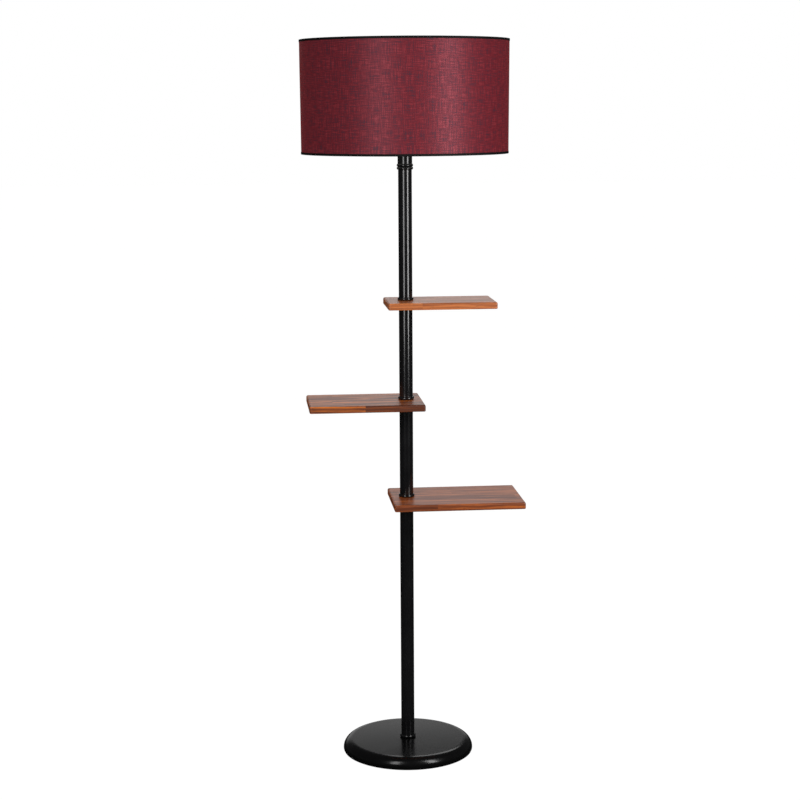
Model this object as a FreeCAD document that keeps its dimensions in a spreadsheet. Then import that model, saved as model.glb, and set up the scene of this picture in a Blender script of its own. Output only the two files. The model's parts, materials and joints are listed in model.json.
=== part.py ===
import FreeCAD, Part
import math
import os
import re
import Sketcher

# A floor lamp: a black steel pole on a round weighted base carries three wooden shelves
# and a fabric drum shade. Millimetres, +Z up. The origin is where the pole's axis meets
# the floor. The shelves' long sides run along X, and -Y is the lamp's front.
#
# The pole is four tubes stacked end to end. A plug is pressed into each end of a tube, and
# a hollow threaded rod joins the plugs of two neighbours, through the shelf between them
# and through the beaded collar that the upper tube stands in. The shade's fitter ring is
# clamped on the lampholder, at the top of the pole.

SIZES = (
    # Base
    ("base_diameter", 295.0, "widest part of the rim"),
    ("base_height", 28.8, "floor to the middle of the domed top"),
    ("base_wall", 1.5, "sheet of the shell"),
    ("base_widest_height", 5.5, "floor to the widest part of the rim"),
    ("base_nose_radius", 21.5, "rounded rim, in section"),
    ("base_turn_in", 1.2, "how far the lower edge turns in"),
    ("base_floor_gap", 1.0, "shell's lower edge above the floor"),
    ("base_pad_diameter", 284.0, "foam pad under the base"),
    ("base_pad_thickness", 3.0, "foam pad under the base"),
    ("base_weight_diameter", 236.0, "cast block inside the shell"),
    ("base_weight_boss_diameter", 34.0, "raised middle of the block"),
    ("base_weight_boss_rise", 2.4, "raised middle of the block"),
    ("base_weight_round", 3.0, "block's outer edges"),
    ("base_weight_recess_diameter", 44.0, "well for the nut, under the block"),
    ("base_weight_recess_depth", 13.0, "well for the nut, and the cord channel"),
    ("cord_channel_width", 10.0, "channel from the well to the rear rim"),
    ("base_washer_diameter", 28.0, "washer on the base rod"),
    ("base_washer_thickness", 2.0, "washer on the base rod"),
    ("base_nut_flats", 14.0, "hexagon nut, across its flats"),
    ("base_nut_height", 4.0, "hexagon nut"),
    ("base_rod_tail", 2.0, "base rod below its nut"),
    ("grommet_height", 11.0, "floor to the middle of the cord's inlet"),
    ("grommet_neck_diameter", 9.0, "grommet where it passes the shell"),
    ("grommet_flange_diameter", 13.0, "grommet on both sides of the shell"),
    ("grommet_bore", 6.2, "cord's inlet"),
    ("grommet_stand_out", 1.2, "grommet beyond the rim"),
    ("grommet_length", 8.7, "grommet, end to end"),
    # Pole
    ("tube_diameter", 30.0, "pole tubes"),
    ("tube_wall", 1.2, "pole tubes"),
    ("lower_tube_length", 542.3, "tube from the base to the lower shelf"),
    ("shelf_tube_length", 201.5, "two tubes between shelves"),
    ("top_tube_length", 283.0, "tube from the upper shelf to the neck"),
    ("plug_length", 18.0, "plugs in the tube ends"),
    ("rod_diameter", 10.0, "hollow threaded rods, over the thread"),
    ("rod_bore", 7.0, "hollow threaded rods, way for the wires"),
    ("rod_clearance", 0.2, "rod in a collar, washer or cap, radial"),
    ("collar_diameter", 36.0, "bead of a collar"),
    ("collar_height", 6.5, "bead of a collar"),
    ("collar_lip_diameter", 32.0, "collar's two end faces"),
    ("collar_seat_depth", 1.5, "recess that a tube stands in"),
    ("collar_seat_clearance", 0.1, "tube in its recess, radial"),
    # Shelves
    ("shelf_thickness", 15.0, "boards"),
    ("shelf_top_round", 4.0, "boards' upper edges"),
    ("shelf_bottom_round", 2.0, "boards' lower edges"),
    ("shelf_corner_round", 4.5, "boards' corners, seen from above"),
    ("shelf_hole_clearance", 0.5, "rod in a board, radial"),
    ("lower_shelf_reach", 256.0, "pole's axis to the long end"),
    ("lower_shelf_tail", 35.0, "pole's axis to the short end"),
    ("lower_shelf_depth", 194.0, "front to back"),
    ("middle_shelf_reach", 219.0, "pole's axis to the long end"),
    ("middle_shelf_tail", 35.0, "pole's axis to the short end"),
    ("middle_shelf_depth", 175.0, "front to back"),
    ("upper_shelf_reach", 195.5, "pole's axis to the long end"),
    ("upper_shelf_tail", 44.0, "pole's axis to the short end"),
    ("upper_shelf_depth", 145.0, "front to back"),
    # Neck and lampholder
    ("neck_cap_diameter", 32.0, "cap on the pole's top"),
    ("neck_cap_height", 38.0, "cap, with the bead at its foot"),
    ("neck_cap_wall", 1.2, "cap"),
    ("neck_cap_round", 2.5, "cap's upper edge"),
    ("neck_rod_grip", 8.0, "neck rod in the lampholder"),
    ("holder_diameter", 39.3, "lampholder, over its outer thread"),
    ("holder_wall", 2.0, "lampholder"),
    ("holder_foot_diameter", 24.0, "lampholder's cap, at its foot"),
    ("holder_cap_height", 22.0, "lampholder's cap"),
    ("holder_cap_shoulder", 12.0, "lampholder's cap, foot to its straight part"),
    ("holder_body_height", 38.0, "lampholder's body"),
    ("holder_flange_diameter", 43.0, "flange that the fitter ring rests on"),
    ("holder_flange_thickness", 3.0, "flange that the fitter ring rests on"),
    ("holder_block_thickness", 10.0, "insulating block in the lampholder"),
    ("holder_block_bore", 3.0, "hole for the rivet of the centre contact"),
    ("screw_sleeve_bore", 27.2, "metal sleeve round the bulb's screw cap"),
    ("screw_sleeve_wall", 0.5, "metal sleeve round the bulb's screw cap"),
    ("screw_sleeve_recess", 2.0, "sleeve below the lampholder's mouth"),
    ("contact_rise", 2.0, "block to the tip of the bulb"),
    ("contact_width", 5.0, "centre contact"),
    ("contact_reach", 8.0, "centre contact, from the axis to its foot"),
    ("contact_thickness", 0.4, "centre contact"),
    ("contact_gap", 0.1, "centre contact to the tip of the bulb"),
    ("ring_nut_diameter", 57.0, "nut that clamps the fitter ring"),
    ("ring_nut_height", 8.0, "nut that clamps the fitter ring"),
    ("ring_nut_notch_diameter", 5.0, "finger notches in the nut's edge"),
    ("ring_nut_notches", 16, "finger notches in the nut's edge"),
    # Shade
    ("shade_diameter", 453.0, "shade, over the lower trim"),
    ("shade_widening", 3.4, "how much wider the shade is over the upper trim"),
    ("shade_height", 245.0, "shade, over both trims"),
    ("shade_drop", 35.0, "fitter ring down to the shade's lower edge"),
    ("shade_cover_thickness", 0.7, "fabric"),
    ("shade_liner_thickness", 0.8, "stiff sheet behind the fabric"),
    ("shade_wire_diameter", 3.2, "wire rings in both edges"),
    ("trim_width", 5.0, "edge tape, seen from outside"),
    ("trim_thickness", 0.5, "edge tape"),
    ("trim_slack", 0.25, "edge tape to the wire that it is folded round"),
    ("fitter_diameter", 62.0, "ring plate clamped on the lampholder"),
    ("fitter_thickness", 1.5, "ring plate clamped on the lampholder"),
    ("fitter_clearance", 0.5, "lampholder in the ring plate, radial"),
    ("arm_diameter", 3.4, "wire arms"),
    ("arm_start", 24.0, "axis to an arm's inner end"),
    ("arm_slope", 45.0, "degrees that an arm's outer end slopes down"),
    ("arm_bend_radius", 20.0, "bend in an arm"),
    ("weld_depth", 0.6, "arm sunk into the ring plate"),
    # Bulb
    ("bulb_diameter", 60.0, "globe"),
    ("bulb_length", 108.0, "contact tip to the globe's top"),
    ("bulb_globe_wall", 1.0, "globe"),
    ("bulb_rim_diameter", 54.0, "globe where it meets the housing"),
    ("bulb_housing_foot_diameter", 28.0, "housing above the screw cap"),
    ("bulb_contact_diameter", 9.0, "contact tip"),
    ("bulb_contact_height", 1.5, "contact tip"),
    ("bulb_insulator_height", 2.5, "cone between tip and screw cap"),
    ("screw_cap_diameter", 26.4, "over the thread's crests"),
    ("screw_thread_depth", 1.0, "rounded thread"),
    ("screw_thread_pitch", 3.63, "rounded thread"),
    ("screw_thread_start", 5.0, "contact tip to the first crest's foot"),
    ("screw_cap_top", 24.5, "contact tip to the housing"),
)
THREAD_CRESTS = 5
SHADE_ARMS = 3
# Turns about the pole, in degrees from +X.
FIRST_ARM_TURN = 90.0
TO_THE_RIGHT = 0.0
TO_THE_LEFT = 180.0
# Two places this near each other are the same.
NEAR = 0.01

# What follows from the sizes. Heights are from the floor unless the name says otherwise.
DERIVED = (
    ("base_nose_centre", "base_diameter / 2 - base_nose_radius"),
    ("dome_drop", "base_height - base_widest_height"),
    (
        "dome_radius",
        "(base_nose_centre ^ 2 + dome_drop ^ 2 - base_nose_radius ^ 2)"
        " / (2 * (dome_drop - base_nose_radius))",
    ),
    ("dome_centre", "base_height - dome_radius"),
    ("nose_reach", "dome_radius - base_nose_radius"),
    ("shoulder_run", "base_nose_centre / nose_reach"),
    ("shoulder_rise", "(base_widest_height - dome_centre) / nose_reach"),
    ("seat_radius", "collar_diameter / 2"),
    ("base_seat", "dome_centre + sqrt(dome_radius ^ 2 - seat_radius ^ 2)"),
    ("foot_rise", "base_widest_height - base_floor_gap"),
    ("foot_radius", "(base_turn_in ^ 2 + foot_rise ^ 2) / (2 * base_turn_in)"),
    ("base_underside", "base_seat - base_wall"),
    ("base_well_roof", "base_pad_thickness + base_weight_recess_depth"),
    ("grommet_inner_end", "base_diameter / 2 + grommet_stand_out - grommet_length"),
    ("base_washer_foot", "base_well_roof - base_washer_thickness"),
    ("base_nut_foot", "base_washer_foot - base_nut_height"),
    ("rod_hole_radius", "rod_diameter / 2 + rod_clearance"),
    ("collar_floor", "collar_height - collar_seat_depth"),
    ("bead_depth", "(collar_diameter - collar_lip_diameter) / 2"),
    (
        "bead_centre",
        "collar_diameter / 2 - (collar_height ^ 2 / 4 + bead_depth ^ 2) / (2 * bead_depth)",
    ),
    ("lower_tube_foot", "base_seat + collar_floor"),
    ("lower_shelf_foot", "lower_tube_foot + lower_tube_length"),
    ("lower_shelf_face", "lower_shelf_foot + shelf_thickness"),
    ("centre_tube_foot", "lower_shelf_face + collar_floor"),
    ("middle_shelf_foot", "centre_tube_foot + shelf_tube_length"),
    ("middle_shelf_face", "middle_shelf_foot + shelf_thickness"),
    ("upper_tube_foot", "middle_shelf_face + collar_floor"),
    ("upper_shelf_foot", "upper_tube_foot + shelf_tube_length"),
    ("upper_shelf_face", "upper_shelf_foot + shelf_thickness"),
    ("top_tube_foot", "upper_shelf_face + collar_floor"),
    ("top_tube_head", "top_tube_foot + top_tube_length"),
    ("neck_collar_foot", "top_tube_head - collar_seat_depth"),
    ("neck_cap_foot", "neck_collar_foot + collar_height"),
    ("holder_foot", "neck_cap_foot + neck_cap_height"),
    ("holder_body_foot", "holder_foot + holder_cap_height"),
    ("fitter_foot", "holder_body_foot + holder_flange_thickness"),
    ("ring_nut_foot", "fitter_foot + fitter_thickness"),
    ("holder_block_face", "fitter_foot + holder_block_thickness"),
    ("bulb_foot", "holder_block_face + contact_rise"),
    ("holder_room", "holder_body_height - holder_flange_thickness - holder_block_thickness"),
    ("sleeve_length", "holder_room - screw_sleeve_recess"),
    ("shade_foot", "fitter_foot - shade_drop"),
    ("shade_radius", "shade_diameter / 2"),
    ("shade_flare", "shade_widening / (2 * shade_height)"),
    ("liner_inset", "trim_thickness + shade_cover_thickness + shade_liner_thickness"),
    ("wire_offset", "trim_thickness + trim_slack + shade_wire_diameter / 2"),
    ("wire_inset", "liner_inset + shade_wire_diameter / 2"),
    ("bottom_wire_radius", "shade_radius + shade_flare * wire_offset - wire_inset"),
    ("top_wire_radius", "shade_radius + shade_flare * (shade_height - wire_offset) - wire_inset"),
    ("arm_height", "shade_drop - arm_diameter / 2 + weld_depth"),
    ("globe_centre", "bulb_length - bulb_diameter / 2"),
    ("globe_rim", "globe_centre - sqrt(bulb_diameter ^ 2 - bulb_rim_diameter ^ 2) / 2"),
    ("globe_inner_radius", "bulb_diameter / 2 - bulb_globe_wall"),
    ("globe_inner_rim_radius", "sqrt(globe_inner_radius ^ 2 - (globe_centre - globe_rim) ^ 2)"),
    ("screw_root_radius", "screw_cap_diameter / 2 - screw_thread_depth"),
    (
        "screw_crest_radius",
        "(screw_thread_pitch ^ 2 / 4 + screw_thread_depth ^ 2) / (2 * screw_thread_depth)",
    ),
    ("screw_crest_centre", "screw_cap_diameter / 2 - screw_crest_radius"),
)

document = FreeCAD.newDocument("shelf_floor_lamp")


def fill_sheet(sheet, rows):
    """Writes one row for each size: its value or formula, with the name as alias, and a note."""
    for number, (name, content, note) in enumerate(rows, start=1):
        cell = "A%d" % number
        sheet.set(cell, str(content))
        sheet.setAlias(cell, name)
        sheet.set("B%d" % number, note)


def bound(text):
    """The expression with the sheet written in front of each size that it names."""

    def in_full(word):
        return SHEET_OF.get(word.group(), "") + word.group()

    return re.sub(r"[a-z][a-z_]+", in_full, text)


SHEET_OF = {name: "sizes." for name, value, note in SIZES}
sizes = document.addObject("Spreadsheet::Sheet", "sizes")
fill_sheet(sizes, SIZES)
document.recompute()
derived = document.addObject("Spreadsheet::Sheet", "derived")
for row, (name, formula) in enumerate(DERIVED, start=1):
    derived.set("A%d" % row, "=" + bound(formula).replace("derived.", ""))
    derived.setAlias("A%d" % row, name)
    SHEET_OF[name] = "derived."
document.recompute()


def value(text):
    """The number that an expression gives."""
    return float(sizes.evalExpression(bound(text)))


# Drawing helpers. A place is a pair of expressions, across and up.

ACROSS = FreeCAD.Vector(1, 0, 0)
UP = FreeCAD.Vector(0, 0, 1)


def new_body(name, height="0"):
    """A body whose own origin is on the lamp's axis, at a height above the floor."""
    body = document.addObject("PartDesign::Body", name)
    body.Label = name
    body.setExpression("Placement.Base.z", bound(height))
    return body


def new_sketch(body, name, role):
    sketch = body.newObject("Sketcher::SketchObject", body.Name + "_" + name)
    plane = next(item for item in body.Origin.OriginFeatures if item.Role == role)
    sketch.AttachmentSupport = [(plane, "")]
    sketch.MapMode = "FlatFace"
    return sketch


def hold(sketch, kind, edge, point, text):
    """Fixes one coordinate of a point, or puts the point on the axis where it is nought."""
    if text == "0":
        axis = {"DistanceX": -2, "DistanceY": -1}[kind]
        sketch.addConstraint(Sketcher.Constraint("PointOnObject", edge, point, axis))
        return
    number = sketch.addConstraint(Sketcher.Constraint(kind, -1, 1, edge, point, value(text)))
    sketch.setExpression("Constraints[%d]" % number, bound(text))


def size_constraint(sketch, kind, edge, text):
    number = sketch.addConstraint(Sketcher.Constraint(kind, edge, value(text)))
    sketch.setExpression("Constraints[%d]" % number, bound(text))


def arc_centre(start, finish, kind, known):
    """The centre of an arc through two points, from one of the centre's coordinates."""
    step = finish - start
    reach = (finish.Length ** 2 - start.Length ** 2) / 2
    if kind == "DistanceX":
        return FreeCAD.Vector(known, (reach - step.x * known) / step.y, 0)
    return FreeCAD.Vector((reach - step.y * known) / step.x, known, 0)


def draw_arc(sketch, start, finish, centre):
    """Adds the shorter arc. Gives the edge and which of its ends are the start and finish."""
    anticlockwise = (start - centre).cross(finish - centre).z > 0
    first, last = (start, finish) if anticlockwise else (finish, start)
    angles = [math.atan2((end - centre).y, (end - centre).x) for end in (first, last)]
    circle = Part.Circle(centre, UP, (start - centre).Length)
    edge = sketch.addGeometry(Part.ArcOfCircle(circle, *angles))
    return (edge, 1, 2) if anticlockwise else (edge, 2, 1)


def draw_outline(sketch, corners):
    """Closed outline. A corner is (across, up), reached by a line from the one before, or
    (across, up, kind, centre), reached by an arc whose centre has that coordinate."""
    places = [FreeCAD.Vector(value(corner[0]), value(corner[1]), 0) for corner in corners]
    edges = []
    for index, corner in enumerate(corners):
        start = places[index - 1]
        finish = places[index]
        if len(corner) == 2:
            edges.append((sketch.addGeometry(Part.LineSegment(start, finish)), 1, 2))
            continue
        kind, centre_text = corner[2:]
        edges.append(draw_arc(sketch, start, finish, arc_centre(start, finish, kind, value(centre_text))))
    for index, (edge, start_end, finish_end) in enumerate(edges):
        before = edges[index - 1]
        sketch.addConstraint(Sketcher.Constraint("Coincident", before[0], before[2], edge, start_end))
        hold(sketch, "DistanceX", edge, finish_end, corners[index][0])
        hold(sketch, "DistanceY", edge, finish_end, corners[index][1])
        if len(corners[index]) > 2:
            hold(sketch, corners[index][2], edge, 3, corners[index][3])


def draw_circle(sketch, diameter, across="0", up="0"):
    centre = FreeCAD.Vector(value(across), value(up), 0)
    edge = sketch.addGeometry(Part.Circle(centre, UP, value(diameter) / 2))
    hold(sketch, "DistanceX", edge, 3, across)
    hold(sketch, "DistanceY", edge, 3, up)
    size_constraint(sketch, "Diameter", edge, diameter)


def add_feature(body, kind, name, profile=None):
    feature = body.newObject("PartDesign::" + kind, body.Name + "_" + name)
    if profile:
        feature.Profile = profile
    body.Tip = feature
    return feature


def turned(name, height, corners):
    """A piece of revolution about the lamp's axis."""
    body = new_body(name, height)
    sketch = new_sketch(body, "section", "XZ_Plane")
    draw_outline(sketch, corners)
    revolution = add_feature(body, "Revolution", "turning", sketch)
    revolution.ReferenceAxis = (sketch, ["V_Axis"])
    revolution.Angle = 360
    document.recompute()
    return body


def padded_ring(name, height, diameter, bore, length):
    """A straight ring or tube along the lamp's axis."""
    body = new_body(name, height)
    sketch = new_sketch(body, "section", "XY_Plane")
    draw_circle(sketch, diameter)
    draw_circle(sketch, bore)
    pad = add_feature(body, "Pad", "length", sketch)
    pad.setExpression("Length", bound(length))
    document.recompute()
    return body


def cut_towards_back(body, name, sketch):
    """Cuts the sketch's outline from the axis out to the back."""
    before = body.Shape.Volume
    pocket = add_feature(body, "Pocket", name, sketch)
    pocket.Type = "ThroughAll"
    document.recompute()
    assert body.Shape.Volume < before, body.Name + " is not cut"


def edges_where(feature, test):
    return ["Edge%d" % number for number, edge in enumerate(feature.Shape.Edges, start=1) if test(edge)]


def round_edges(body, name, test, radius):
    tip = body.Tip
    fillet = add_feature(body, "Fillet", name)
    fillet.Base = (tip, edges_where(tip, test))
    fillet.setExpression("Radius", bound(radius))
    document.recompute()


# Base

FOOT_CENTRE = "base_diameter / 2 - foot_radius"
INNER_NOSE = "(base_nose_radius - base_wall)"


def make_base_shell():
    """Spun sheet: a shallow dome, a round nose and a lower edge that turns in a little."""
    shell = turned(
        "base_shell",
        "0",
        (
            (FOOT_CENTRE + " + sqrt((foot_radius - base_wall) ^ 2 - foot_rise ^ 2)", "base_floor_gap",
             "DistanceY", "base_widest_height"),
            ("base_diameter / 2 - base_turn_in", "base_floor_gap"),
            ("base_diameter / 2", "base_widest_height", "DistanceY", "base_widest_height"),
            ("base_nose_centre + base_nose_radius * shoulder_run",
             "base_widest_height + base_nose_radius * shoulder_rise", "DistanceY", "base_widest_height"),
            ("seat_radius", "base_seat", "DistanceX", "0"),
            ("rod_hole_radius", "base_seat"),
            ("rod_hole_radius", "base_underside"),
            ("seat_radius", "base_underside"),
            ("base_nose_centre + " + INNER_NOSE + " * shoulder_run",
             "base_widest_height + " + INNER_NOSE + " * shoulder_rise", "DistanceX", "0"),
            ("base_diameter / 2 - base_wall", "base_widest_height", "DistanceY", "base_widest_height"),
        ),
    )
    hole = new_sketch(shell, "cord_hole", "XZ_Plane")
    draw_circle(hole, "grommet_neck_diameter", up="grommet_height")
    cut_towards_back(shell, "cord_hole_cut", hole)
    return shell


def make_base_weight():
    """Cast block with a raised middle, a well for the nut and a channel for the cord."""
    weight = turned(
        "base_weight",
        "base_pad_thickness",
        (
            ("base_weight_recess_diameter / 2", "0"),
            ("base_weight_diameter / 2", "0"),
            ("base_weight_diameter / 2", "base_underside - base_pad_thickness - base_weight_boss_rise"),
            ("base_weight_boss_diameter / 2", "base_underside - base_pad_thickness - base_weight_boss_rise"),
            ("base_weight_boss_diameter / 2", "base_underside - base_pad_thickness"),
            ("rod_hole_radius", "base_underside - base_pad_thickness"),
            ("rod_hole_radius", "base_weight_recess_depth"),
            ("base_weight_recess_diameter / 2", "base_weight_recess_depth"),
        ),
    )
    rim = value("base_weight_diameter") / 2

    def round_the_rim(edge):
        return edge.Curve.TypeId == "Part::GeomCircle" and edge.BoundBox.XMax > rim - NEAR

    round_edges(weight, "rim_rounds", round_the_rim, "base_weight_round")
    channel = new_sketch(weight, "channel", "XZ_Plane")
    draw_outline(
        channel,
        (
            ("-cord_channel_width / 2", "0"),
            ("cord_channel_width / 2", "0"),
            ("cord_channel_width / 2", "base_weight_recess_depth"),
            ("-cord_channel_width / 2", "base_weight_recess_depth"),
        ),
    )
    cut_towards_back(weight, "channel_cut", channel)
    return weight


def make_base_pad():
    """Foam disc that covers the underside and stands on the floor."""
    pad = document.addObject("Part::Cylinder", "base_pad")
    pad.Label = "base_pad"
    pad.setExpression("Radius", bound("base_pad_diameter / 2"))
    pad.setExpression("Height", bound("base_pad_thickness"))
    document.recompute()
    return pad


def lying_cylinder(name, diameter):
    """A cylinder along Y at the cord inlet's height, from inside the rim to just beyond it."""
    cylinder = document.addObject("Part::Cylinder", name)
    cylinder.Placement = FreeCAD.Placement(FreeCAD.Vector(), FreeCAD.Rotation(ACROSS, -90))
    cylinder.setExpression("Radius", bound(diameter + " / 2"))
    cylinder.setExpression("Height", bound("grommet_length"))
    cylinder.setExpression("Placement.Base.y", bound("grommet_inner_end"))
    cylinder.setExpression("Placement.Base.z", bound("grommet_height"))
    return cylinder


def difference(name, whole, tool):
    cut = document.addObject("Part::Cut", name)
    cut.Label = name
    cut.Base = whole
    cut.Tool = tool
    document.recompute()
    return cut


def make_cord_grommet(shell):
    """Soft bush whose two flanges follow the curved shell that it is pushed into."""
    solid_bush = lying_cylinder("grommet_bush", "grommet_flange_diameter")
    inlet = lying_cylinder("grommet_inlet", "grommet_bore")
    bush = difference("grommet_hollow_bush", solid_bush, inlet)
    return difference("cord_grommet", bush, shell)


def make_base_nut():
    """Hexagon nut that draws the pole, the shell and the block together."""
    hexagon = document.addObject("Part::Prism", "nut_hexagon")
    hexagon.Polygon = 6
    hexagon.setExpression("Circumradius", bound("base_nut_flats / sqrt(3)"))
    hexagon.setExpression("Height", bound("base_nut_height"))
    hexagon.setExpression("Placement.Base.z", bound("base_nut_foot"))
    thread = document.addObject("Part::Cylinder", "nut_thread")
    thread.setExpression("Radius", bound("rod_diameter / 2"))
    thread.setExpression("Height", bound("base_nut_height"))
    thread.setExpression("Placement.Base.z", bound("base_nut_foot"))
    return difference("base_nut", hexagon, thread)


# Pole

def make_collar(name, foot, inverted=False):
    """Beaded ring with a shallow recess for the end of a tube, upwards or downwards."""
    tube_seat = "tube_diameter / 2 + collar_seat_clearance"
    collar = turned(
        name,
        foot,
        (
            ("rod_hole_radius", "0"),
            ("collar_lip_diameter / 2", "0"),
            ("collar_lip_diameter / 2", "collar_height", "DistanceX", "bead_centre"),
            (tube_seat, "collar_height"),
            (tube_seat, "collar_floor"),
            ("rod_hole_radius", "collar_floor"),
        ),
    )
    if inverted:
        collar.Placement.Rotation = FreeCAD.Rotation(ACROSS, 180)
        collar.setExpression("Placement.Base.z", bound(foot + " + collar_height"))
        document.recompute()
    return collar


def make_tube(name, foot, length):
    """One tube of the pole, with the plugs pressed into its two ends."""
    bore = "tube_diameter - 2 * tube_wall"
    head_plug_foot = foot + " + " + length + " - plug_length"
    return [
        padded_ring(name, foot, "tube_diameter", bore, length),
        padded_ring(name + "_foot_plug", foot, bore, "rod_diameter", "plug_length"),
        padded_ring(name + "_head_plug", head_plug_foot, bore, "rod_diameter", "plug_length"),
    ]


def make_rod(name, foot, head):
    """Hollow threaded rod between two heights."""
    return padded_ring(name, foot, "rod_diameter", "rod_bore", "(" + head + ") - (" + foot + ")")


def make_shelf_rod(name, tube_below_head, tube_above_foot):
    return make_rod(name, tube_below_head + " - plug_length", tube_above_foot + " + plug_length")


# Shelves

def make_shelf(name, foot, turn):
    """Board with rounded edges and a hole for the rod. Its long end points along +X before
    it is turned about the pole."""
    board = new_body(name, foot)
    board.Placement.Rotation = FreeCAD.Rotation(UP, turn)
    reach, tail, depth = (name + ending for ending in ("_reach", "_tail", "_depth"))
    hole_diameter = "rod_diameter + 2 * shelf_hole_clearance"
    outline = new_sketch(board, "outline", "XY_Plane")
    draw_outline(
        outline,
        (
            ("-" + tail, "-" + depth + " / 2"),
            (reach, "-" + depth + " / 2"),
            (reach, depth + " / 2"),
            ("-" + tail, depth + " / 2"),
        ),
    )
    draw_circle(outline, hole_diameter)
    pad = add_feature(board, "Pad", "thickness", outline)
    pad.setExpression("Length", bound("shelf_thickness"))
    document.recompute()
    top = value("shelf_thickness")
    hole_radius = value(hole_diameter) / 2

    def outer(edge):
        middle = edge.BoundBox.Center
        return math.hypot(middle.x, middle.y) > hole_radius + NEAR

    def upright(edge):
        return outer(edge) and edge.BoundBox.ZLength > top / 2

    def level(edge, height):
        box = edge.BoundBox
        return outer(edge) and abs(box.ZMin - height) < NEAR and abs(box.ZMax - height) < NEAR

    round_edges(board, "corner_rounds", upright, "shelf_corner_round")
    round_edges(board, "top_rounds", lambda edge: level(edge, top), "shelf_top_round")
    round_edges(board, "bottom_rounds", lambda edge: level(edge, 0), "shelf_bottom_round")
    return board


# Neck and lampholder

def make_neck_cap():
    """Drawn cup, open below, with a bead round its foot and a rounded upper edge."""
    inner = "neck_cap_diameter / 2 - neck_cap_wall"
    return turned(
        "neck_cap",
        "neck_cap_foot",
        (
            (inner, "0"),
            ("collar_lip_diameter / 2", "0"),
            ("collar_lip_diameter / 2", "collar_height", "DistanceX", "bead_centre"),
            ("neck_cap_diameter / 2", "collar_height + neck_cap_wall / 2"),
            ("neck_cap_diameter / 2", "neck_cap_height - neck_cap_round"),
            ("neck_cap_diameter / 2 - neck_cap_round", "neck_cap_height", "DistanceY",
             "neck_cap_height - neck_cap_round"),
            ("rod_hole_radius", "neck_cap_height"),
            ("rod_hole_radius", "neck_cap_height - neck_cap_wall"),
            (inner, "neck_cap_height - neck_cap_wall"),
        ),
    )


def make_holder_cap():
    """Domed lower half of the lampholder, threaded on the neck rod."""
    inner = "holder_diameter / 2 - holder_wall"
    return turned(
        "lampholder_cap",
        "holder_foot",
        (
            ("rod_diameter / 2", "0"),
            ("holder_foot_diameter / 2", "0"),
            ("holder_diameter / 2", "holder_cap_shoulder", "DistanceY", "holder_cap_shoulder"),
            ("holder_diameter / 2", "holder_cap_height"),
            (inner, "holder_cap_height"),
            (inner, "holder_cap_shoulder"),
            ("holder_foot_diameter / 2", "neck_rod_grip"),
            ("rod_diameter / 2", "neck_rod_grip"),
        ),
    )


def make_holder_body():
    """Straight upper half of the lampholder, with the flange that carries the shade."""
    inner = "holder_diameter / 2 - holder_wall"
    return turned(
        "lampholder_body",
        "holder_body_foot",
        (
            (inner, "0"),
            ("holder_flange_diameter / 2", "0"),
            ("holder_flange_diameter / 2", "holder_flange_thickness"),
            ("holder_diameter / 2", "holder_flange_thickness"),
            ("holder_diameter / 2", "holder_body_height"),
            (inner, "holder_body_height"),
        ),
    )


def make_holder_contact():
    """Springy strip that rises from the block to the tip of the bulb."""
    contact = new_body("lampholder_contact", "holder_block_face")
    side = new_sketch(contact, "side", "XZ_Plane")
    draw_outline(
        side,
        (
            ("-contact_reach", "0"),
            ("-contact_reach / 2", "0"),
            ("0", "contact_rise - contact_gap - contact_thickness"),
            ("contact_reach / 4", "contact_rise - contact_gap - contact_thickness"),
            ("contact_reach / 4", "contact_rise - contact_gap"),
            ("-contact_thickness", "contact_rise - contact_gap"),
            ("-contact_reach / 2 - contact_thickness", "contact_thickness"),
            ("-contact_reach", "contact_thickness"),
        ),
    )
    pad = add_feature(contact, "Pad", "width", side)
    pad.Midplane = True
    pad.setExpression("Length", bound("contact_width"))
    document.recompute()
    return contact


def make_ring_nut():
    """Ring threaded on the lampholder, with finger notches round its edge."""
    nut = padded_ring("shade_ring_nut", "ring_nut_foot", "ring_nut_diameter", "holder_diameter",
                      "ring_nut_height")
    notch = new_sketch(nut, "notch", "XY_Plane")
    notch_middle = "ring_nut_diameter / 2 + ring_nut_notch_diameter / 4"
    draw_circle(notch, "ring_nut_notch_diameter", across=notch_middle)
    pocket = add_feature(nut, "Pocket", "notch_cut", notch)
    pocket.Type = "ThroughAll"
    pocket.Reversed = True
    document.recompute()
    pattern = add_feature(nut, "PolarPattern", "notches")
    pattern.Originals = [pocket]
    pattern.Axis = (notch, ["N_Axis"])
    pattern.Angle = 360
    pattern.setExpression("Occurrences", bound("ring_nut_notches"))
    document.recompute()
    return nut


# Shade. Heights here are from its lower edge.

def shade_radius_at(height, inset):
    return "shade_radius + shade_flare * (" + height + ") - (" + inset + ")"


def make_shade_wall(name, outer_inset, inner_inset):
    """One layer of the slightly flared wall, between the folds of the two trims."""
    foot = "trim_thickness"
    head = "shade_height - trim_thickness"
    return turned(
        name,
        "shade_foot",
        (
            (shade_radius_at(foot, inner_inset), foot),
            (shade_radius_at(foot, outer_inset), foot),
            (shade_radius_at(head, outer_inset), head),
            (shade_radius_at(head, inner_inset), head),
        ),
    )


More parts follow.
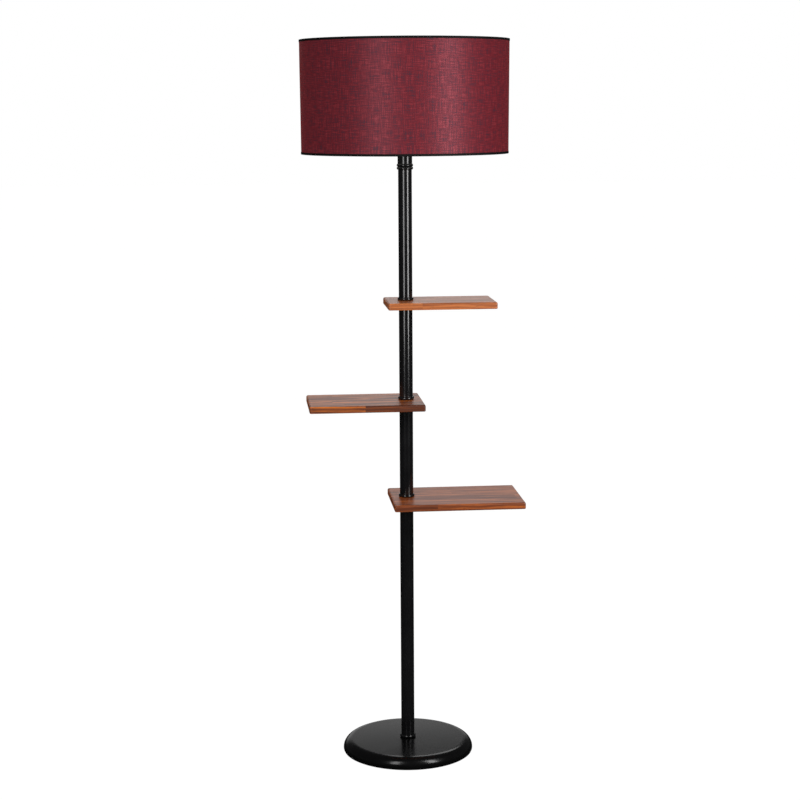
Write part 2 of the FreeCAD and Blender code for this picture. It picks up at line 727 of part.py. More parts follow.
def make_shade_trim(name, edge, inwards, wire_radius):
    """Tape folded over one edge of the wall and round its wire. inwards is + for the lower
    edge, where the tape runs up the wall, and - for the upper one."""

    def up(distance):
        return edge + inwards + distance

    inner_fold = wire_radius + " - shade_wire_diameter / 2 - trim_slack"
    fold = inner_fold + " - trim_thickness"
    wire_middle = up("wire_offset")
    return turned(
        name,
        "shade_foot",
        (
            (fold, edge),
            (shade_radius_at(edge, "0"), edge),
            (shade_radius_at(up("trim_width"), "0"), up("trim_width")),
            (shade_radius_at(up("trim_width"), "trim_thickness"), up("trim_width")),
            (shade_radius_at(up("trim_thickness"), "trim_thickness"), up("trim_thickness")),
            (inner_fold, up("trim_thickness")),
            (inner_fold, wire_middle),
            (fold, wire_middle),
        ),
    )


def make_wire_ring(name, radius, height):
    ring = document.addObject("Part::Torus", name)
    ring.Label = name
    ring.setExpression("Radius1", bound(radius))
    ring.setExpression("Radius2", bound("shade_wire_diameter / 2"))
    ring.setExpression("Placement.Base.z", bound("shade_foot + " + height))
    document.recompute()
    return ring


def draw_arm_path(sketch):
    """Level from the ring plate, then a bend, then a straight slope down to the lower wire."""
    slope = math.radians(value("arm_slope"))
    radius = value("arm_bend_radius")
    level = value("arm_height")
    start = FreeCAD.Vector(value("arm_start"), level, 0)
    finish = FreeCAD.Vector(value("bottom_wire_radius"), value("wire_offset"), 0)
    knee = FreeCAD.Vector(finish.x - (level - finish.y) / math.tan(slope), level, 0)
    before = knee - ACROSS * radius * math.tan(slope / 2)
    after = knee + (finish - knee).normalize() * radius * math.tan(slope / 2)
    centre = before - FreeCAD.Vector(0, radius, 0)
    inner = sketch.addGeometry(Part.LineSegment(start, before))
    bend, bend_start, bend_finish = draw_arc(sketch, before, after, centre)
    outer = sketch.addGeometry(Part.LineSegment(after, finish))
    hold(sketch, "DistanceX", inner, 1, "arm_start")
    hold(sketch, "DistanceY", inner, 1, "arm_height")
    sketch.addConstraint(Sketcher.Constraint("Horizontal", inner))
    sketch.addConstraint(Sketcher.Constraint("Tangent", inner, 2, bend, bend_start))
    sketch.addConstraint(Sketcher.Constraint("Tangent", bend, bend_finish, outer, 1))
    size_constraint(sketch, "Radius", bend, "arm_bend_radius")
    hold(sketch, "DistanceX", outer, 2, "bottom_wire_radius")
    hold(sketch, "DistanceY", outer, 2, "wire_offset")
    angle = sketch.addConstraint(Sketcher.Constraint("Angle", inner, outer, -slope))
    sketch.setExpression("Constraints[%d]" % angle, bound("-arm_slope * 1 deg"))


def make_shade_arm(name, turn):
    """Bent wire arm from the ring plate down to the lower wire ring."""
    arm = new_body(name, "shade_foot")
    arm.Placement.Rotation = FreeCAD.Rotation(UP, turn)
    path = new_sketch(arm, "path", "XZ_Plane")
    draw_arm_path(path)
    section = new_sketch(arm, "section", "YZ_Plane")
    section.setExpression("AttachmentOffset.Base.z", bound("arm_start"))
    draw_circle(section, "arm_diameter", up="arm_height")
    document.recompute()
    pipe = add_feature(arm, "AdditivePipe", "wire", section)
    pipe.Spine = (path, ["Edge1", "Edge2", "Edge3"])
    document.recompute()
    return arm


# Bulb. Heights here are from its contact tip.

def make_bulb():
    root = "screw_root_radius"
    crests = []
    for number in range(1, THREAD_CRESTS + 1):
        crests.append((root, "screw_thread_start + %d * screw_thread_pitch" % number, "DistanceX",
                       "screw_crest_centre"))
    tip_top = "bulb_contact_height"
    insulator_top = "bulb_contact_height + bulb_insulator_height"
    rim = "bulb_rim_diameter / 2"
    outer = "bulb_diameter / 2"
    return [
        turned("bulb_contact", "bulb_foot", (
            ("0", "0"),
            ("bulb_contact_diameter / 2", "0"),
            ("bulb_contact_diameter / 2", tip_top),
            ("0", tip_top),
        )),
        turned("bulb_insulator", "bulb_foot", (
            ("0", tip_top),
            ("bulb_contact_diameter / 2", tip_top),
            (root, insulator_top),
            ("0", insulator_top),
        )),
        turned("bulb_screw_cap", "bulb_foot", (
            ("0", insulator_top),
            (root, insulator_top),
            (root, "screw_thread_start"),
            *crests,
            (root, "screw_cap_top"),
            ("0", "screw_cap_top"),
        )),
        turned("bulb_housing", "bulb_foot", (
            ("0", "screw_cap_top"),
            ("bulb_housing_foot_diameter / 2", "screw_cap_top"),
            (rim, "globe_rim", "DistanceY", "screw_cap_top"),
            ("0", "globe_rim"),
        )),
        turned("bulb_globe", "bulb_foot", (
            (rim, "globe_rim"),
            (outer, "globe_centre", "DistanceX", "0"),
            ("0", "bulb_length", "DistanceX", "0"),
            ("0", "bulb_length - bulb_globe_wall"),
            (outer + " - bulb_globe_wall", "globe_centre", "DistanceX", "0"),
            ("globe_inner_rim_radius", "globe_rim", "DistanceX", "0"),
        )),
    ]


# The whole lamp

def make_base():
    shell = make_base_shell()
    washer_bore = "rod_diameter + 2 * rod_clearance"
    return [
        shell,
        make_base_weight(),
        make_base_pad(),
        padded_ring("base_washer", "base_washer_foot", "base_washer_diameter", washer_bore,
                    "base_washer_thickness"),
        make_base_nut(),
        make_cord_grommet(shell),
    ]


def make_pole():
    pieces = [
        make_collar("base_collar", "base_seat"),
        make_rod("base_rod", "base_nut_foot - base_rod_tail", "lower_tube_foot + plug_length"),
    ]
    pieces += make_tube("lower_tube", "lower_tube_foot", "lower_tube_length")
    joints = (
        ("lower", "centre", "shelf_tube_length"),
        ("middle", "upper", "shelf_tube_length"),
        ("upper", "top", "top_tube_length"),
    )
    for shelf, tube, length in joints:
        face = shelf + "_shelf_face"
        tube_foot = tube + "_tube_foot"
        pieces.append(make_collar(shelf + "_shelf_collar", face))
        pieces.append(make_shelf_rod(shelf + "_shelf_rod", shelf + "_shelf_foot", tube_foot))
        pieces += make_tube(tube + "_tube", tube_foot, length)
    return pieces


def make_neck():
    sleeve_diameter = "screw_sleeve_bore + 2 * screw_sleeve_wall"
    block_diameter = "holder_diameter - 2 * holder_wall"
    return [
        make_collar("neck_collar", "neck_collar_foot", inverted=True),
        make_neck_cap(),
        make_rod("neck_rod", "top_tube_head - plug_length", "holder_foot + neck_rod_grip"),
        make_holder_cap(),
        make_holder_body(),
        padded_ring("lampholder_block", "fitter_foot", block_diameter, "holder_block_bore",
                    "holder_block_thickness"),
        padded_ring("lampholder_sleeve", "holder_block_face", sleeve_diameter, "screw_sleeve_bore",
                    "sleeve_length"),
        make_holder_contact(),
        make_ring_nut(),
    ]


def make_shade():
    fabric_inner = "trim_thickness + shade_cover_thickness"
    pieces = [
        padded_ring("shade_fitter_ring", "fitter_foot", "fitter_diameter",
                    "holder_diameter + 2 * fitter_clearance", "fitter_thickness"),
        make_shade_wall("shade_cover", "trim_thickness", fabric_inner),
        make_shade_wall("shade_liner", fabric_inner, "liner_inset"),
        make_shade_trim("shade_bottom_trim", "0", " + ", "bottom_wire_radius"),
        make_shade_trim("shade_top_trim", "shade_height", " - ", "top_wire_radius"),
        make_wire_ring("shade_bottom_wire", "bottom_wire_radius", "wire_offset"),
        make_wire_ring("shade_top_wire", "top_wire_radius", "shade_height - wire_offset"),
    ]
    for number in range(SHADE_ARMS):
        turn = FIRST_ARM_TURN + number * 360.0 / SHADE_ARMS
        pieces.append(make_shade_arm("shade_arm_%d" % (number + 1), turn))
    return pieces


def make_shelves():
    return [
        make_shelf("lower_shelf", "lower_shelf_foot", TO_THE_RIGHT),
        make_shelf("middle_shelf", "middle_shelf_foot", TO_THE_LEFT),
        make_shelf("upper_shelf", "upper_shelf_foot", TO_THE_RIGHT),
    ]


def check_document():
    for item in document.Objects:
        assert "Invalid" not in item.State and "Error" not in item.State, item.Name + " failed"


def write_pieces(pieces):
    os.makedirs("parts", exist_ok=True)
    for piece in pieces:
        shape = piece.Shape
        assert not shape.isNull() and shape.isValid(), piece.Label + " has no sound shape"
        assert len(shape.Solids) == 1 and shape.Volume > 0, piece.Label + " is not one solid"
        shape.exportStep("parts/" + piece.Label + ".step")
    print(len(pieces), "pieces,", round(value("shade_foot + shade_height"), 1), "mm high")


pieces = make_base() + make_pole() + make_neck() + make_shade() + make_bulb() + make_shelves()
document.recompute()
check_document()
write_pieces(pieces)
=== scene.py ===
import json
import math
from collections import namedtuple

import bpy
from mathutils import Matrix, Vector, noise


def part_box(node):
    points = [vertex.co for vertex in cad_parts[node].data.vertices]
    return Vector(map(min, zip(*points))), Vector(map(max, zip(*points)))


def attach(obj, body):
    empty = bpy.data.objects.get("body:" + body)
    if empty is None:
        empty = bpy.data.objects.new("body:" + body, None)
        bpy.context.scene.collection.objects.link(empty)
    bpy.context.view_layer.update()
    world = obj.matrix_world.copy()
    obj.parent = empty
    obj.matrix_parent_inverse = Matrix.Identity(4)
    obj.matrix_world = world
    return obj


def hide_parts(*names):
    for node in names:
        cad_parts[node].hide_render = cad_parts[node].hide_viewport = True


# A floor lamp with three wooden shelves on a black pole and a burgundy drum shade. Metres,
# +Z up, the pole's axis at the origin, -Y the front. The rigid pieces come with the frame
# and get their finishes here. The shade's fabric and its two edge tapes are made here.

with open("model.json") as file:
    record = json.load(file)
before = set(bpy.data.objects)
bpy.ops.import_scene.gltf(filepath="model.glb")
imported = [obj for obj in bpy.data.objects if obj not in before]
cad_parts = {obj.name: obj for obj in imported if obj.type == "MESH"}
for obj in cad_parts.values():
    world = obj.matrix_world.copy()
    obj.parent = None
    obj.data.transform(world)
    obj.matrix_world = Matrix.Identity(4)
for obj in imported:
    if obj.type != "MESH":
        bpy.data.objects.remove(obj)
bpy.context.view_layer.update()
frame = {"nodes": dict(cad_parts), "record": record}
MM = 0.001


# Node trees

# A colour mix node's sockets, by number: the colours that go in, and the one that comes out.
MIX_BELOW, MIX_OVER, MIXED = 6, 7, 2


def tone(color, share):
    return tuple(channel * share for channel in color)


def gray(level):
    return (level, level, level, 1.0)


class Nodes:
    """Adds nodes to one node tree."""

    def __init__(self, tree):
        self.tree = tree

    def put(self, socket, content):
        """Links an output to the socket, or sets the socket's value."""
        if isinstance(content, bpy.types.NodeSocket):
            self.tree.links.new(content, socket)
        else:
            socket.default_value = content

    def add(self, kind, inputs=(), **settings):
        """Adds a node. inputs pairs each socket's name or number with a value or an output."""
        made = self.tree.nodes.new(kind)
        for name, setting in settings.items():
            setattr(made, name, setting)
        for key, content in dict(inputs).items():
            self.put(made.inputs[key], content)
        return made

    def calc(self, operation, *terms):
        """The result of arithmetic, by the name of the operation."""
        return self.add("ShaderNodeMath", enumerate(terms), operation=operation).outputs[0]

    def plus(self, first, second):
        return self.calc("ADD", first, second)

    def minus(self, first, second):
        return self.calc("SUBTRACT", first, second)

    def times(self, first, second):
        return self.calc("MULTIPLY", first, second)

    def swing(self, value, amount):
        """A value that goes round a half, turned into a swing round zero."""
        return self.times(self.minus(value, 0.5), amount)

    def vector(self, operation, first, second):
        """The result of arithmetic on vectors, by the name of the operation."""
        return self.add("ShaderNodeVectorMath", {0: first, 1: second}, operation=operation).outputs[0]

    def split(self, vector):
        """The X, Y and Z of a vector."""
        return self.add("ShaderNodeSeparateXYZ", {"Vector": vector}).outputs

    def fade(self, value, low, high, start=0.0, finish=1.0):
        """The value as it goes from low to high, mapped to go from start to finish."""
        inputs = {"Value": value, "From Min": low, "From Max": high, "To Min": start, "To Max": finish}
        return self.add("ShaderNodeMapRange", inputs).outputs[0]

    def by_ray(self, seen, mirrored, other):
        """One shader for what the camera sees, one for what gloss mirrors, one for all other light."""
        rays = self.add("ShaderNodeLightPath").outputs
        unseen = self.add("ShaderNodeMixShader", {"Fac": rays["Is Glossy Ray"], 1: other, 2: mirrored})
        inputs = {"Fac": rays["Is Camera Ray"], 1: unseen.outputs[0], 2: seen}
        return self.add("ShaderNodeMixShader", inputs).outputs[0]


class Finish(Nodes):
    """A material under construction. Places are the lamp's own, in metres."""

    def __init__(self, name, **sockets):
        self.material = bpy.data.materials.new(name)
        self.material.use_nodes = True
        super().__init__(self.material.node_tree)
        self.shader = self.tree.nodes["Principled BSDF"]
        self.place = self.add("ShaderNodeTexCoord").outputs["Object"]
        for socket, content in sockets.items():
            self.put(self.shader.inputs[socket.replace("_", " ")], content)

    def noise(self, scale, detail, rough=0.5, place=None):
        """Cloudy noise round a half. scale is one number, or one for each axis."""
        place = place or self.place
        if isinstance(scale, tuple):
            place = self.add("ShaderNodeMapping", {"Vector": place, "Scale": scale}).outputs[0]
            scale = 1.0
        inputs = {"Vector": place, "Scale": scale, "Detail": detail, "Roughness": rough}
        return self.add("ShaderNodeTexNoise", inputs).outputs["Fac"]

    def ramp(self, factor, *stops):
        """Colours between stops, each a position and a colour."""
        made = self.add("ShaderNodeValToRGB", {"Fac": factor})
        elements = made.color_ramp.elements
        while len(elements) < len(stops):
            elements.new(0.5)
        for element, (position, color) in zip(elements, stops):
            element.position = position
            element.color = (*color, 1.0)
        return made.outputs["Color"]

    def cover(self, color, factor, over):
        """A colour with a plain one over it, which hides it where the factor is 1."""
        inputs = {"Factor": factor, MIX_BELOW: color, MIX_OVER: (*over, 1.0)}
        return self.add("ShaderNodeMix", inputs, data_type="RGBA").outputs[MIXED]

    def color(self, content):
        self.put(self.shader.inputs["Base Color"], content)

    def mottle(self, level, color, first, last, low=0.3, high=0.7):
        """Tones of one colour, from a first to a last share of it as the level rises."""
        self.color(self.ramp(level, (low, tone(color, first)), (high, tone(color, last))))

    def rough(self, level, first, last, low=0.3, high=0.7):
        """Roughness, from a first to a last one as the level rises."""
        self.put(self.shader.inputs["Roughness"], self.fade(level, low, high, first, last))

    def relief(self, height, depth):
        """Bumps of this depth in metres where the height goes from 0 to 1."""
        bump = self.add("ShaderNodeBump", {"Height": height, "Distance": depth, "Strength": 1.0})
        self.put(self.shader.inputs["Normal"], bump.outputs[0])


# Finishes of paint, plastic, metal and the hidden pieces

TURNING_MARKS = (300.0, 300.0, 4000.0)
FOAM_CELLS = 900.0


def enamel(name, color, rough, peel, **sockets):
    """Sprayed paint: a faint orange peel, and a gloss that isn't quite even."""
    made = Finish(name, **sockets)
    cloud = made.noise(22.0, detail=3.0)
    made.mottle(cloud, color, 0.85, 1.2)
    made.rough(cloud, rough - 0.025, rough + 0.025)
    made.relief(made.noise(240.0, detail=1.0), peel)
    return made.material


def moulded(name, color, rough, grain=900.0, depth=0.02 * MM):
    """Moulded plastic, ceramic or rubber: an even tone and a fine grain."""
    made = Finish(name)
    cloud = made.noise(60.0, detail=3.0)
    made.mottle(cloud, color, 0.93, 1.05)
    made.rough(cloud, rough - 0.04, rough + 0.04)
    made.relief(made.noise(grain, detail=2.0), depth)
    return made.material


def metal(name, color, rough):
    """Bare or plated metal with fine turning marks round the lamp's axis."""
    made = Finish(name, Metallic=1.0)
    cloud = made.noise(90.0, detail=4.0)
    made.mottle(cloud, color, 0.8, 1.0, low=0.25, high=0.75)
    made.rough(cloud, rough - 0.06, rough + 0.08)
    made.relief(made.noise(TURNING_MARKS, detail=2.0), 0.006 * MM)
    return made.material


def rough_cast(name, color):
    """Cast concrete: coarse, with painted light on its humps and painted shade in its hollows."""
    made = Finish(name)
    coarse = made.noise(90.0, detail=8.0, rough=0.7)
    # Painted light and shade: the colour follows the same noise as the bumps, lighter where they rise
    # and darker where they dip.
    made.color(made.ramp(coarse, (0.3, tone(color, 0.6)), (0.55, color), (0.75, tone(color, 1.2))))
    made.rough(coarse, 0.95, 0.8, low=0.2, high=0.8)
    made.relief(coarse, 0.8 * MM)
    return made.material


def foam(name, color):
    """Closed-cell foam: small round cells, with painted shade in the dips between them."""
    made = Finish(name, Roughness=0.9)
    cells = made.add("ShaderNodeTexVoronoi", {"Vector": made.place, "Scale": FOAM_CELLS})
    hollow = cells.outputs["Distance"]
    # Painted shade: each cell is lighter on its raised middle and darker where it dips towards its
    # edge.
    made.mottle(hollow, color, 1.5, 0.7, low=0.0, high=0.6)
    made.relief(made.minus(1.0, hollow), 0.3 * MM)
    return made.material


def laminate(name, color):
    """The stiff lining: a smooth white sheet with faint fibres."""
    made = Finish(name)
    fibres = made.noise((120.0, 120.0, 700.0), detail=4.0, rough=0.6)
    made.mottle(fibres, color, 0.95, 1.0, low=0.35, high=0.65)
    made.rough(fibres, 0.5, 0.62)
    made.relief(fibres, 0.03 * MM)
    return made.material


# Wood

STRIP_WIDTH = 0.048
GLUE_LINE = 0.006  # of a strip's width
RINGS_PER_METRE = 260.0
RING_WANDER = 9.0  # in rings
TREE_SPREAD = (3.0, 0.5, 0.3)  # how far apart the pieces were cut, in metres
PIECE_CONTRAST = 0.055  # how much lighter or darker than the board a piece may be
FRONT_BLEND = 0.1 * MM

# A board's foremost strip: the Y of its rear edge, the X of a joint in it, and how much
# lighter than the other strips it is to the left and to the right of that joint.
Front = namedtuple("Front", "rear_edge joint left right")


def wood(name, light, dark, seed, piece_length, joint_shift, front):
    """Stained board, glued up from strips along X that are pieced together end to end.

    joint_shift moves the end joints, as a share of a piece's length.
    """
    made = Finish(name, Specular_IOR_Level=0.47)
    x, y, _ = made.split(made.place)
    strips = made.times(y, 1 / STRIP_WIDTH)
    strip = made.calc("FLOOR", strips)
    stagger = made.add("ShaderNodeTexWhiteNoise", {"W": strip}, noise_dimensions="1D").outputs["Value"]
    along = made.plus(made.times(x, 1 / piece_length), made.plus(stagger, joint_shift))
    foremost = made.fade(y, front.rear_edge + FRONT_BLEND, front.rear_edge)
    past_joint = made.calc("GREATER_THAN", x, front.joint)
    piece = made.fade(foremost, 0.0, 1.0, made.calc("FLOOR", along), past_joint)
    key = made.add("ShaderNodeCombineXYZ", {"X": strip, "Y": piece, "Z": seed}).outputs[0]
    own = made.add("ShaderNodeTexWhiteNoise", {"Vector": key}).outputs

    # Each piece is cut from another place in another tree.
    place = made.vector("ADD", made.place, made.vector("MULTIPLY", own["Color"], TREE_SPREAD))
    _, across, up = made.split(place)
    radius = made.calc("SQRT", made.plus(made.calc("POWER", across, 2.0), made.calc("POWER", up, 2.0)))
    wander = made.noise((2.5, 14.0, 14.0), detail=3.0, rough=0.55, place=place)
    rings = made.plus(made.times(radius, RINGS_PER_METRE), made.times(wander, RING_WANDER))
    ring = made.calc("PINGPONG", rings, 1.0)
    fibre = made.noise((14.0, 650.0, 650.0), detail=3.0, rough=0.65, place=place)
    streak = made.noise((4.0, 75.0, 75.0), detail=4.0, rough=0.6, place=place)
    grain = made.plus(made.times(ring, 0.16), made.times(fibre, 0.34))
    grain = made.plus(grain, made.times(streak, 0.5))

    own_level = made.fade(own["Value"], 0.0, 1.0, -PIECE_CONTRAST, PIECE_CONTRAST)
    front_level = made.times(foremost, made.fade(past_joint, 0.0, 1.0, front.left, front.right))
    level = made.plus(grain, made.plus(own_level, front_level))
    middle = tuple(math.sqrt(a * b) for a, b in zip(light, dark))
    color = made.ramp(level, (0.36, dark), (0.5, middle), (0.63, light))
    pore = made.fade(made.noise((60.0, 2100.0, 2100.0), detail=1.0, place=place), 0.66, 0.74)
    color = made.cover(color, pore, tone(dark, 0.45))
    glue = made.fade(made.calc("PINGPONG", strips, 0.5), GLUE_LINE, 0.0)
    color = made.cover(color, made.times(glue, 0.45), tone(dark, 0.5))
    made.color(color)
    made.rough(level, 0.42, 0.32)
    made.relief(made.minus(made.times(fibre, 0.35), made.times(pore, 0.8)), 0.05 * MM)
    return made.material


# Cloth

THREAD = 0.62 * MM
TAPE_RIB = 0.9 * MM
CLOTH_RADIUS = 0.227


def around(made):
    """Distance round the shade from the middle of its front, which jumps at the seam behind,
    and the height, in metres."""
    x, y, up = made.split(made.place)
    angle = made.calc("ARCTAN2", x, made.times(y, -1.0))
    return made.times(angle, CLOTH_RADIUS), up


def slub_cloth(name, dull, color, shine, **sockets):
    """Plain weave of uneven yarns, satin in the light: thick and thin threads both ways."""
    made = Finish(name, **sockets)
    round_it, up = around(made)
    flat = made.add("ShaderNodeCombineXYZ", {"X": round_it, "Y": up}).outputs[0]
    weft = made.noise((42.0, 580.0, 0.0), detail=1.0, place=flat)
    warp = made.noise((560.0, 34.0, 0.0), detail=1.0, place=flat)
    speck = made.noise((640.0, 640.0, 0.0), detail=1.0, place=flat)
    cloud = made.noise((9.0, 14.0, 0.0), detail=4.0, rough=0.6, place=flat)
    yarn = made.times(made.plus(weft, warp), 0.5)
    level = made.plus(made.plus(yarn, made.swing(cloud, 0.04)), made.swing(speck, 0.35))
    made.color(made.ramp(level, (0.33, dull), (0.5, color), (0.67, shine)))
    made.rough(yarn, 0.5, 0.42, low=0.4, high=0.6)
    threads = [made.calc("SINE", made.times(way, math.pi / THREAD)) for way in (round_it, up)]
    over = made.times(*threads)
    made.relief(made.plus(made.times(over, 0.25), made.times(yarn, 1.6)), 0.06 * MM)
    return made.material


def ribbed_tape(name, color):
    """Narrow woven tape with fine ribs across it."""
    made = Finish(name, Specular_IOR_Level=0.2)
    round_it, _ = around(made)
    rib = made.calc("SINE", made.times(round_it, math.tau / TAPE_RIB))
    fuzz = made.noise(1400.0, detail=3.0)
    made.mottle(fuzz, color, 0.6, 1.5)
    made.rough(fuzz, 0.62, 0.78)
    made.relief(made.plus(made.times(rib, 0.4), fuzz), 0.05 * MM)
    return made.material


# Who wears which finish

BLACK = (0.0055, 0.0055, 0.006)
BURGUNDY_DULL = (0.052, 0.021, 0.034)
BURGUNDY = (0.136, 0.0108, 0.0172)
BURGUNDY_SHINE = (0.235, 0.03, 0.04)

FINISHES = {
    "pole_paint": enamel("black_enamel", BLACK, 0.18, 0.0005 * MM, Specular_IOR_Level=0.65),
    "base_paint": enamel("black_satin_enamel", tone(BLACK, 0.4), 0.2, 0.0007 * MM,
                         Specular_IOR_Level=0.36),
    "plated_steel": metal("zinc_plate", (0.62, 0.62, 0.6), 0.34),
    "cast_block": rough_cast("cast_concrete", (0.42, 0.41, 0.39)),
    "foam_pad": foam("black_foam", (0.02, 0.02, 0.021)),
    "grommet_rubber": moulded("black_rubber", (0.018, 0.018, 0.018), 0.7),
    "holder_plastic": moulded("black_plastic", (0.02, 0.02, 0.021), 0.42),
    "holder_ceramic": moulded("unglazed_ceramic", (0.78, 0.76, 0.71), 0.7, grain=500.0),
    "contact_brass": metal("stamped_brass", (0.75, 0.52, 0.22), 0.3),
    "frame_enamel": enamel("white_enamel", (0.72, 0.71, 0.68), 0.32, 0.008 * MM),
    "shade_lining": laminate("white_lining", (0.83, 0.81, 0.77)),
    "bulb_insulator": moulded("black_glass", (0.012, 0.012, 0.02), 0.12),
    "bulb_cap": metal("plated_aluminium", (0.72, 0.72, 0.72), 0.28),
    "bulb_plastic": moulded("white_plastic", (0.8, 0.8, 0.78), 0.35),
    "bulb_globe": moulded("opal", (0.88, 0.87, 0.83), 0.45, grain=1500.0, depth=0.004 * MM),
}
WOODS = {
    "upper_shelf": wood(
        "upper_board", light=(0.6, 0.185, 0.05), dark=(0.27, 0.07, 0.018), seed=0.0,
        piece_length=0.31, joint_shift=0.2,
        front=Front(rear_edge=-0.062, joint=0.03, left=0.05, right=-0.045)),
    "middle_shelf": wood(
        "middle_board", light=(0.7, 0.18, 0.018), dark=(0.1, 0.023, 0.007), seed=1.0,
        piece_length=0.27, joint_shift=0.45,
        front=Front(rear_edge=-0.078, joint=-0.097, left=0.06, right=-0.13)),
    "lower_shelf": wood(
        "lower_board", light=(0.5, 0.125, 0.02), dark=(0.12, 0.025, 0.006), seed=2.0,
        piece_length=0.33, joint_shift=0.1,
        front=Front(rear_edge=-0.084, joint=0.06, left=-0.035, right=0.045)),
}
cloth = slub_cloth("burgundy_slub_cloth", BURGUNDY_DULL, BURGUNDY, BURGUNDY_SHINE,
                   IOR=1.35, Specular_IOR_Level=0.45, Specular_Tint=(0.95, 0.74, 0.86, 1.0),
                   Metallic=0.14, Sheen_Weight=0.25, Sheen_Roughness=0.4,
                   Sheen_Tint=(0.85, 0.01, 0.01, 1.0))
tape_finish = ribbed_tape("black_tape", (0.0022, 0.0022, 0.0024))

for part in frame["record"]["subparts"]:
    finish = WOODS.get(part["node"]) or FINISHES.get(part["material_slot"])
    if finish:
        materials = frame["nodes"][part["node"]].data.materials
        materials.clear()
        materials.append(finish)


# The shade's fabric and tapes

ROUND_STEPS = 360
SHARP_ANGLE = 40.0
SEAM_TURN = math.pi / 2
SHADE_FLARE = 1.7 * MM

shade_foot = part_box("shade_bottom_trim")[0].z
shade_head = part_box("shade_top_trim")[1].z
shade_top_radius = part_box("shade_top_trim")[1].x
shade_height = shade_head - shade_foot


def outer_radius(up):
    """The tapes' outer radius at a height."""
    return shade_top_radius - SHADE_FLARE * (shade_head - up) / shade_height


def past_seam(turn):
    """Distance round the shade from the seam, towards rising turns, in metres."""
    return ((turn - SEAM_TURN) % math.tau) * shade_top_radius


def revolved(name, section):
    """Closed mesh from section(turn), a loop of (radius, height) for each turn about the pole."""
    vertices = []
    for step in range(ROUND_STEPS):
        turn = SEAM_TURN + math.tau * step / ROUND_STEPS
        loop = section(turn)
        vertices += [(r * math.cos(turn), r * math.sin(turn), up) for r, up in loop]
    size = len(loop)
    faces = []
    for step in range(ROUND_STEPS):
        here = step * size
        after = (step + 1) % ROUND_STEPS * size
        for i in range(size):
            j = (i + 1) % size
            faces.append((here + i, after + i, after + j, here + j))
    mesh = bpy.data.meshes.new(name)
    mesh.from_pydata(vertices, [], faces)
    mesh.validate()
    mesh.update()
    made = bpy.data.objects.new(name, mesh)
    bpy.context.scene.collection.objects.link(made)
    for polygon in mesh.polygons:
        polygon.use_smooth = True
    mesh.set_sharp_from_angle(angle=math.radians(SHARP_ANGLE))
    return made


TAPE_THICKNESS = 0.5 * MM
CLOTH_THICKNESS = 0.7 * MM
CLOTH_ROWS = 40
SEAM_STEP = 0.3 * MM
SEAM_BLEND = 0.05
SLACK = 0.12 * MM
SLACK_PACE_ROUND = 2.2  # how quickly the slack changes round the shade
SLACK_PACE_UP = 3.0  # how much quicker it changes up it


def cloth_section(turn):
    """The wall's outer face is drawn in by the seam's step, where the under layer ends."""
    under = SEAM_STEP * max(0.0, 1.0 - past_seam(turn) / SEAM_BLEND)
    outer, inner = [], []
    foot = shade_foot + TAPE_THICKNESS
    head = shade_head - TAPE_THICKNESS
    for row in range(CLOTH_ROWS + 1):
        up = foot + (head - foot) * row / CLOTH_ROWS
        spot = Vector((math.cos(turn), math.sin(turn), up * SLACK_PACE_UP))
        slack = SLACK * (noise.noise(spot * SLACK_PACE_ROUND) + 1.0)
        face = outer_radius(up) - TAPE_THICKNESS
        outer.append((face - under - slack, up))
        inner.append((face - CLOTH_THICKNESS, up))
    return outer + inner[::-1]


TAPE_WIDTH = 5.0 * MM
TAPE_SLACK = 0.25 * MM
TAPE_WAVE = 0.12 * MM
TAPE_WAVE_PACE = 5.0
TAPE_ROUNDING = 0.28 * MM
WIRE_RADIUS = 1.6 * MM
WIRE_MIDDLE = TAPE_THICKNESS + TAPE_SLACK + WIRE_RADIUS


def tape_section(edge, inwards):
    """The tape folded over the wire at one edge of the shade. inwards is 1 at the lower edge
    and -1 at the upper."""
    fold = TAPE_THICKNESS
    rounding = TAPE_ROUNDING
    wire_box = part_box("shade_top_wire" if inwards < 0 else "shade_bottom_wire")
    inner = wire_box[1].x - 2 * WIRE_RADIUS - TAPE_SLACK

    def outside(depth, inset):
        """A point this deep from the edge, inset from the tape's outer face."""
        up = edge + inwards * depth
        return (outer_radius(up) - inset, up)

    def inside(depth, outwards):
        """A point this deep from the edge, outwards of the face that looks at the wire."""
        return (inner + outwards, edge + inwards * depth)

    def section(turn):
        spot = Vector((math.cos(turn), math.sin(turn), edge)) * TAPE_WAVE_PACE
        reach = TAPE_WIDTH + TAPE_WAVE * noise.noise(spot)
        loop = [
            inside(1.6 * rounding, -fold),
            inside(0.5 * rounding, 0.4 * rounding - fold),
            inside(0.0, 1.6 * rounding - fold),
            outside(0.0, 1.8 * rounding),
            outside(0.45 * rounding, 0.45 * rounding),
            outside(1.8 * rounding, 0.0),
            outside(reach - 0.6 * rounding, 0.0),
            outside(reach, 0.6 * rounding),
            outside(reach, fold),
            outside(fold, fold),
            inside(fold, 0.0),
            inside(WIRE_MIDDLE, 0.0),
            inside(WIRE_MIDDLE, -fold),
        ]
        return loop if inwards < 0 else loop[::-1]

    return section


fabric = revolved("shade_fabric", cloth_section)
lower_tape = revolved("lower_edge_tape", tape_section(shade_foot, 1))
upper_tape = revolved("upper_edge_tape", tape_section(shade_head, -1))
DRESS = (
    (fabric, "shade_cover", "shade_fabric", cloth),
    (lower_tape, "shade_bottom_trim", "trim_tape", tape_finish),
    (upper_tape, "shade_top_trim", "trim_tape", tape_finish),
)
for piece, node, slot, finish in DRESS:
    piece.data.materials.append(finish)
    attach(piece, "shade")
    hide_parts(node)


# Floor: the camera sees it as white paper with a faint shadow on it

FLOOR_HALF = 30.0
FLOOR_GLOW = 0.97
FLOOR_SHADOW = 0.08
FLOOR_LIGHT = 0.75
FLOOR_MIRRORED = 0.02

